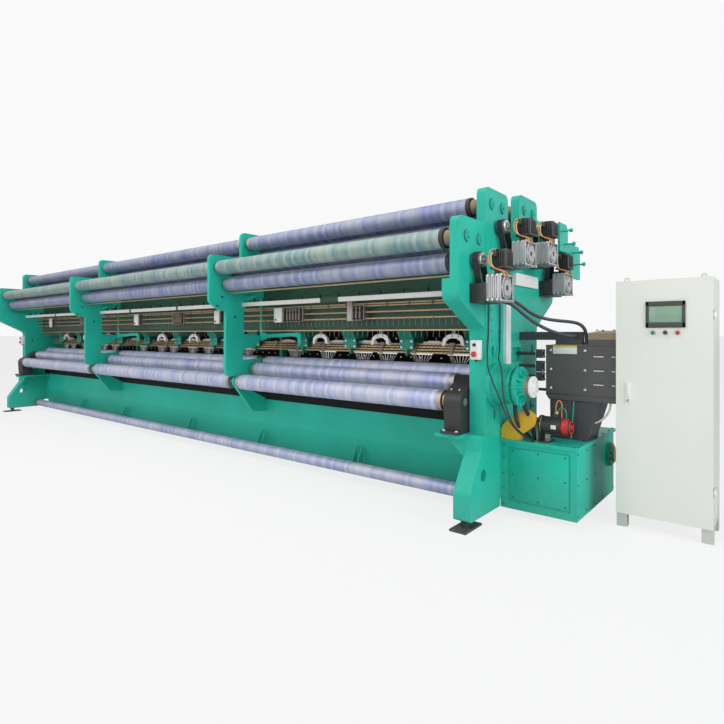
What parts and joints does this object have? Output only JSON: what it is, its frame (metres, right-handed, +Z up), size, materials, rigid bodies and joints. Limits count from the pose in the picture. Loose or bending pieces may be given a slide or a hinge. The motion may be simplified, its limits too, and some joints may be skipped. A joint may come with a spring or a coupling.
{
  "type": "warp knitting machine",
  "caption": "Long warp knitting machine: feed rollers in triples over two end uprights, guide bars, take-up rollers, gear case, pattern drive and a control cabinet.",
  "frame": {"origin": "on the floor, at the middle of the floor area that the machine and its cabinet cover", "axes": "+X along the machine towards the drive end, the front faces -Y, +Z up"},
  "size_m": [11.035, 2.033, 2.66],
  "materials": {
    "teal_paint": "gloss",
    "green_paint": "satin",
    "dark_paint": "satin",
    "white_paint": "satin",
    "yellow_paint": "satin",
    "cast_alu": "satin",
    "bright_steel": "brushed",
    "tan_steel": "satin",
    "grip_wrap": "matte",
    "belt_rubber": "matte",
    "black_plastic": "matte",
    "white_plastic": "matte",
    "motor_black": "satin",
    "conduit_grey": "satin"
  },
  "bodies": {
    "machine": {"bar_hangers": "green_paint", "bearing_caps": "teal_paint", "bed_beam": "teal_paint", "belt_guard": "yellow_paint", "cabinet_body": "white_paint", "case_motor": "motor_black", "conduit_lower": "conduit_grey", "conduit_upper": "conduit_grey", "estop_boxes": "white_plastic", "far_end_frame": "teal_paint", "feed_belts": "belt_rubber", "feed_brackets": "motor_black", "feed_gearboxes": "cast_alu", "feed_motors": "motor_black", "gear_case": "teal_paint", "levelling_feet": "dark_paint", "lower_trough": "dark_paint", "main_reducer": "teal_paint", "mid_frame_far": "teal_paint", "mid_frame_near": "teal_paint", "near_end_frame": "teal_paint", "needle_rail": "tan_steel", "pattern_box": "dark_paint", "pattern_lid": "tan_steel", "pattern_pedestal": "dark_paint", "rocker_arms": "white_plastic", "rod_carriers": "cast_alu", "side_plates": "teal_paint", "takeup_gearbox": "motor_black", "thread_rods": "tan_steel", "tie_beam": "dark_paint", "trunking": "white_plastic", "upper_beam": "green_paint", "wall_ducts": "white_plastic"},
    "front_a_roller": {"feed_roller_front_a": "grip_wrap"},
    "front_b_roller": {"feed_roller_front_b": "grip_wrap"},
    "front_c_roller": {"feed_roller_front_c": "grip_wrap"},
    "front_high_a_roller": {"feed_roller_front_high_a": "grip_wrap"},
    "front_high_b_roller": {"feed_roller_front_high_b": "grip_wrap"},
    "front_high_c_roller": {"feed_roller_front_high_c": "grip_wrap"},
    "back_high_a_roller": {"feed_roller_back_high_a": "grip_wrap"},
    "back_high_b_roller": {"feed_roller_back_high_b": "grip_wrap"},
    "back_high_c_roller": {"feed_roller_back_high_c": "grip_wrap"},
    "back_a_roller": {"feed_roller_back_a": "grip_wrap"},
    "back_b_roller": {"feed_roller_back_b": "grip_wrap"},
    "back_c_roller": {"feed_roller_back_c": "grip_wrap"},
    "takeup_front": {"takeup_roller_front": "grip_wrap"},
    "takeup_middle": {"takeup_roller_middle": "grip_wrap"},
    "takeup_rear": {"takeup_roller_rear": "grip_wrap"},
    "cloth": {"cloth_roller": "bright_steel"},
    "guide": {"guide_bars": "tan_steel", "finger_fans": "bright_steel", "push_rod": "dark_paint"},
    "door": {"cabinet_door": "white_paint", "door_fittings": "black_plastic"}
  },
  "joints": [
    {"name": "front_a_turn", "type": "hinge", "parent": "machine", "child": "front_a_roller", "pos_m": [-0.7055, -0.9045, 2.16], "axis": [1, 0, 0], "continuous": true},
    {"name": "front_b_turn", "type": "hinge", "parent": "machine", "child": "front_b_roller", "pos_m": [-0.7055, -0.7085, 2.16], "axis": [1, 0, 0], "continuous": true},
    {"name": "front_c_turn", "type": "hinge", "parent": "machine", "child": "front_c_roller", "pos_m": [-0.7055, -0.8065, 1.99], "axis": [1, 0, 0], "continuous": true},
    {"name": "front_high_a_turn", "type": "hinge", "parent": "machine", "child": "front_high_a_roller", "pos_m": [-0.7055, -0.4905, 2.465], "axis": [1, 0, 0], "continuous": true},
    {"name": "front_high_b_turn", "type": "hinge", "parent": "machine", "child": "front_high_b_roller", "pos_m": [-0.7055, -0.2945, 2.465], "axis": [1, 0, 0], "continuous": true},
    {"name": "front_high_c_turn", "type": "hinge", "parent": "machine", "child": "front_high_c_roller", "pos_m": [-0.7055, -0.3925, 2.295], "axis": [1, 0, 0], "continuous": true},
    {"name": "back_high_a_turn", "type": "hinge", "parent": "machine", "child": "back_high_a_roller", "pos_m": [-0.7055, 0.1615, 2.535], "axis": [1, 0, 0], "continuous": true},
    {"name": "back_high_b_turn", "type": "hinge", "parent": "machine", "child": "back_high_b_roller", "pos_m": [-0.7055, 0.3575, 2.535], "axis": [1, 0, 0], "continuous": true},
    {"name": "back_high_c_turn", "type": "hinge", "parent": "machine", "child": "back_high_c_roller", "pos_m": [-0.7055, 0.2595, 2.365], "axis": [1, 0, 0], "continuous": true},
    {"name": "back_a_turn", "type": "hinge", "parent": "machine", "child": "back_a_roller", "pos_m": [-0.7055, 0.5755, 2.32], "axis": [1, 0, 0], "continuous": true},
    {"name": "back_b_turn", "type": "hinge", "parent": "machine", "child": "back_b_roller", "pos_m": [-0.7055, 0.7715, 2.32], "axis": [1, 0, 0], "continuous": true},
    {"name": "back_c_turn", "type": "hinge", "parent": "machine", "child": "back_c_roller", "pos_m": [-0.7055, 0.6735, 2.15], "axis": [1, 0, 0], "continuous": true},
    {"name": "takeup_front_turn", "type": "hinge", "parent": "machine", "child": "takeup_front", "pos_m": [-0.7055, -0.6415, 0.92], "axis": [1, 0, 0], "continuous": true},
    {"name": "takeup_middle_turn", "type": "hinge", "parent": "machine", "child": "takeup_middle", "pos_m": [-0.7055, -0.4365, 1.05], "axis": [1, 0, 0], "continuous": true},
    {"name": "takeup_rear_turn", "type": "hinge", "parent": "machine", "child": "takeup_rear", "pos_m": [-0.7055, -0.2565, 1.115], "axis": [1, 0, 0], "continuous": true},
    {"name": "cloth_turn", "type": "hinge", "parent": "machine", "child": "cloth", "pos_m": [-0.7055, -0.3865, 0.14], "axis": [1, 0, 0], "continuous": true},
    {"name": "guide_shog", "type": "slide", "parent": "machine", "child": "guide", "axis": [1, 0, 0], "range_m": [-0.015, 0.015]},
    {"name": "cabinet_door_swing", "type": "hinge", "parent": "machine", "child": "door", "pos_m": [5.5085, -0.018, 0], "axis": [0, 0, 1], "range_deg": [0, 110]}
  ],
  "couplings": [
    {"joint": "front_a_turn", "follows": "front_c_turn", "ratio": -1},
    {"joint": "front_b_turn", "follows": "front_c_turn", "ratio": -1},
    {"joint": "front_high_a_turn", "follows": "front_high_c_turn", "ratio": -1},
    {"joint": "front_high_b_turn", "follows": "front_high_c_turn", "ratio": -1},
    {"joint": "back_high_a_turn", "follows": "back_high_c_turn", "ratio": -1},
    {"joint": "back_high_b_turn", "follows": "back_high_c_turn", "ratio": -1},
    {"joint": "back_a_turn", "follows": "back_c_turn", "ratio": -1},
    {"joint": "back_b_turn", "follows": "back_c_turn", "ratio": -1},
    {"joint": "takeup_front_turn", "follows": "takeup_middle_turn", "ratio": -0.90361},
    {"joint": "takeup_rear_turn", "follows": "takeup_middle_turn", "ratio": -1}
  ]
}
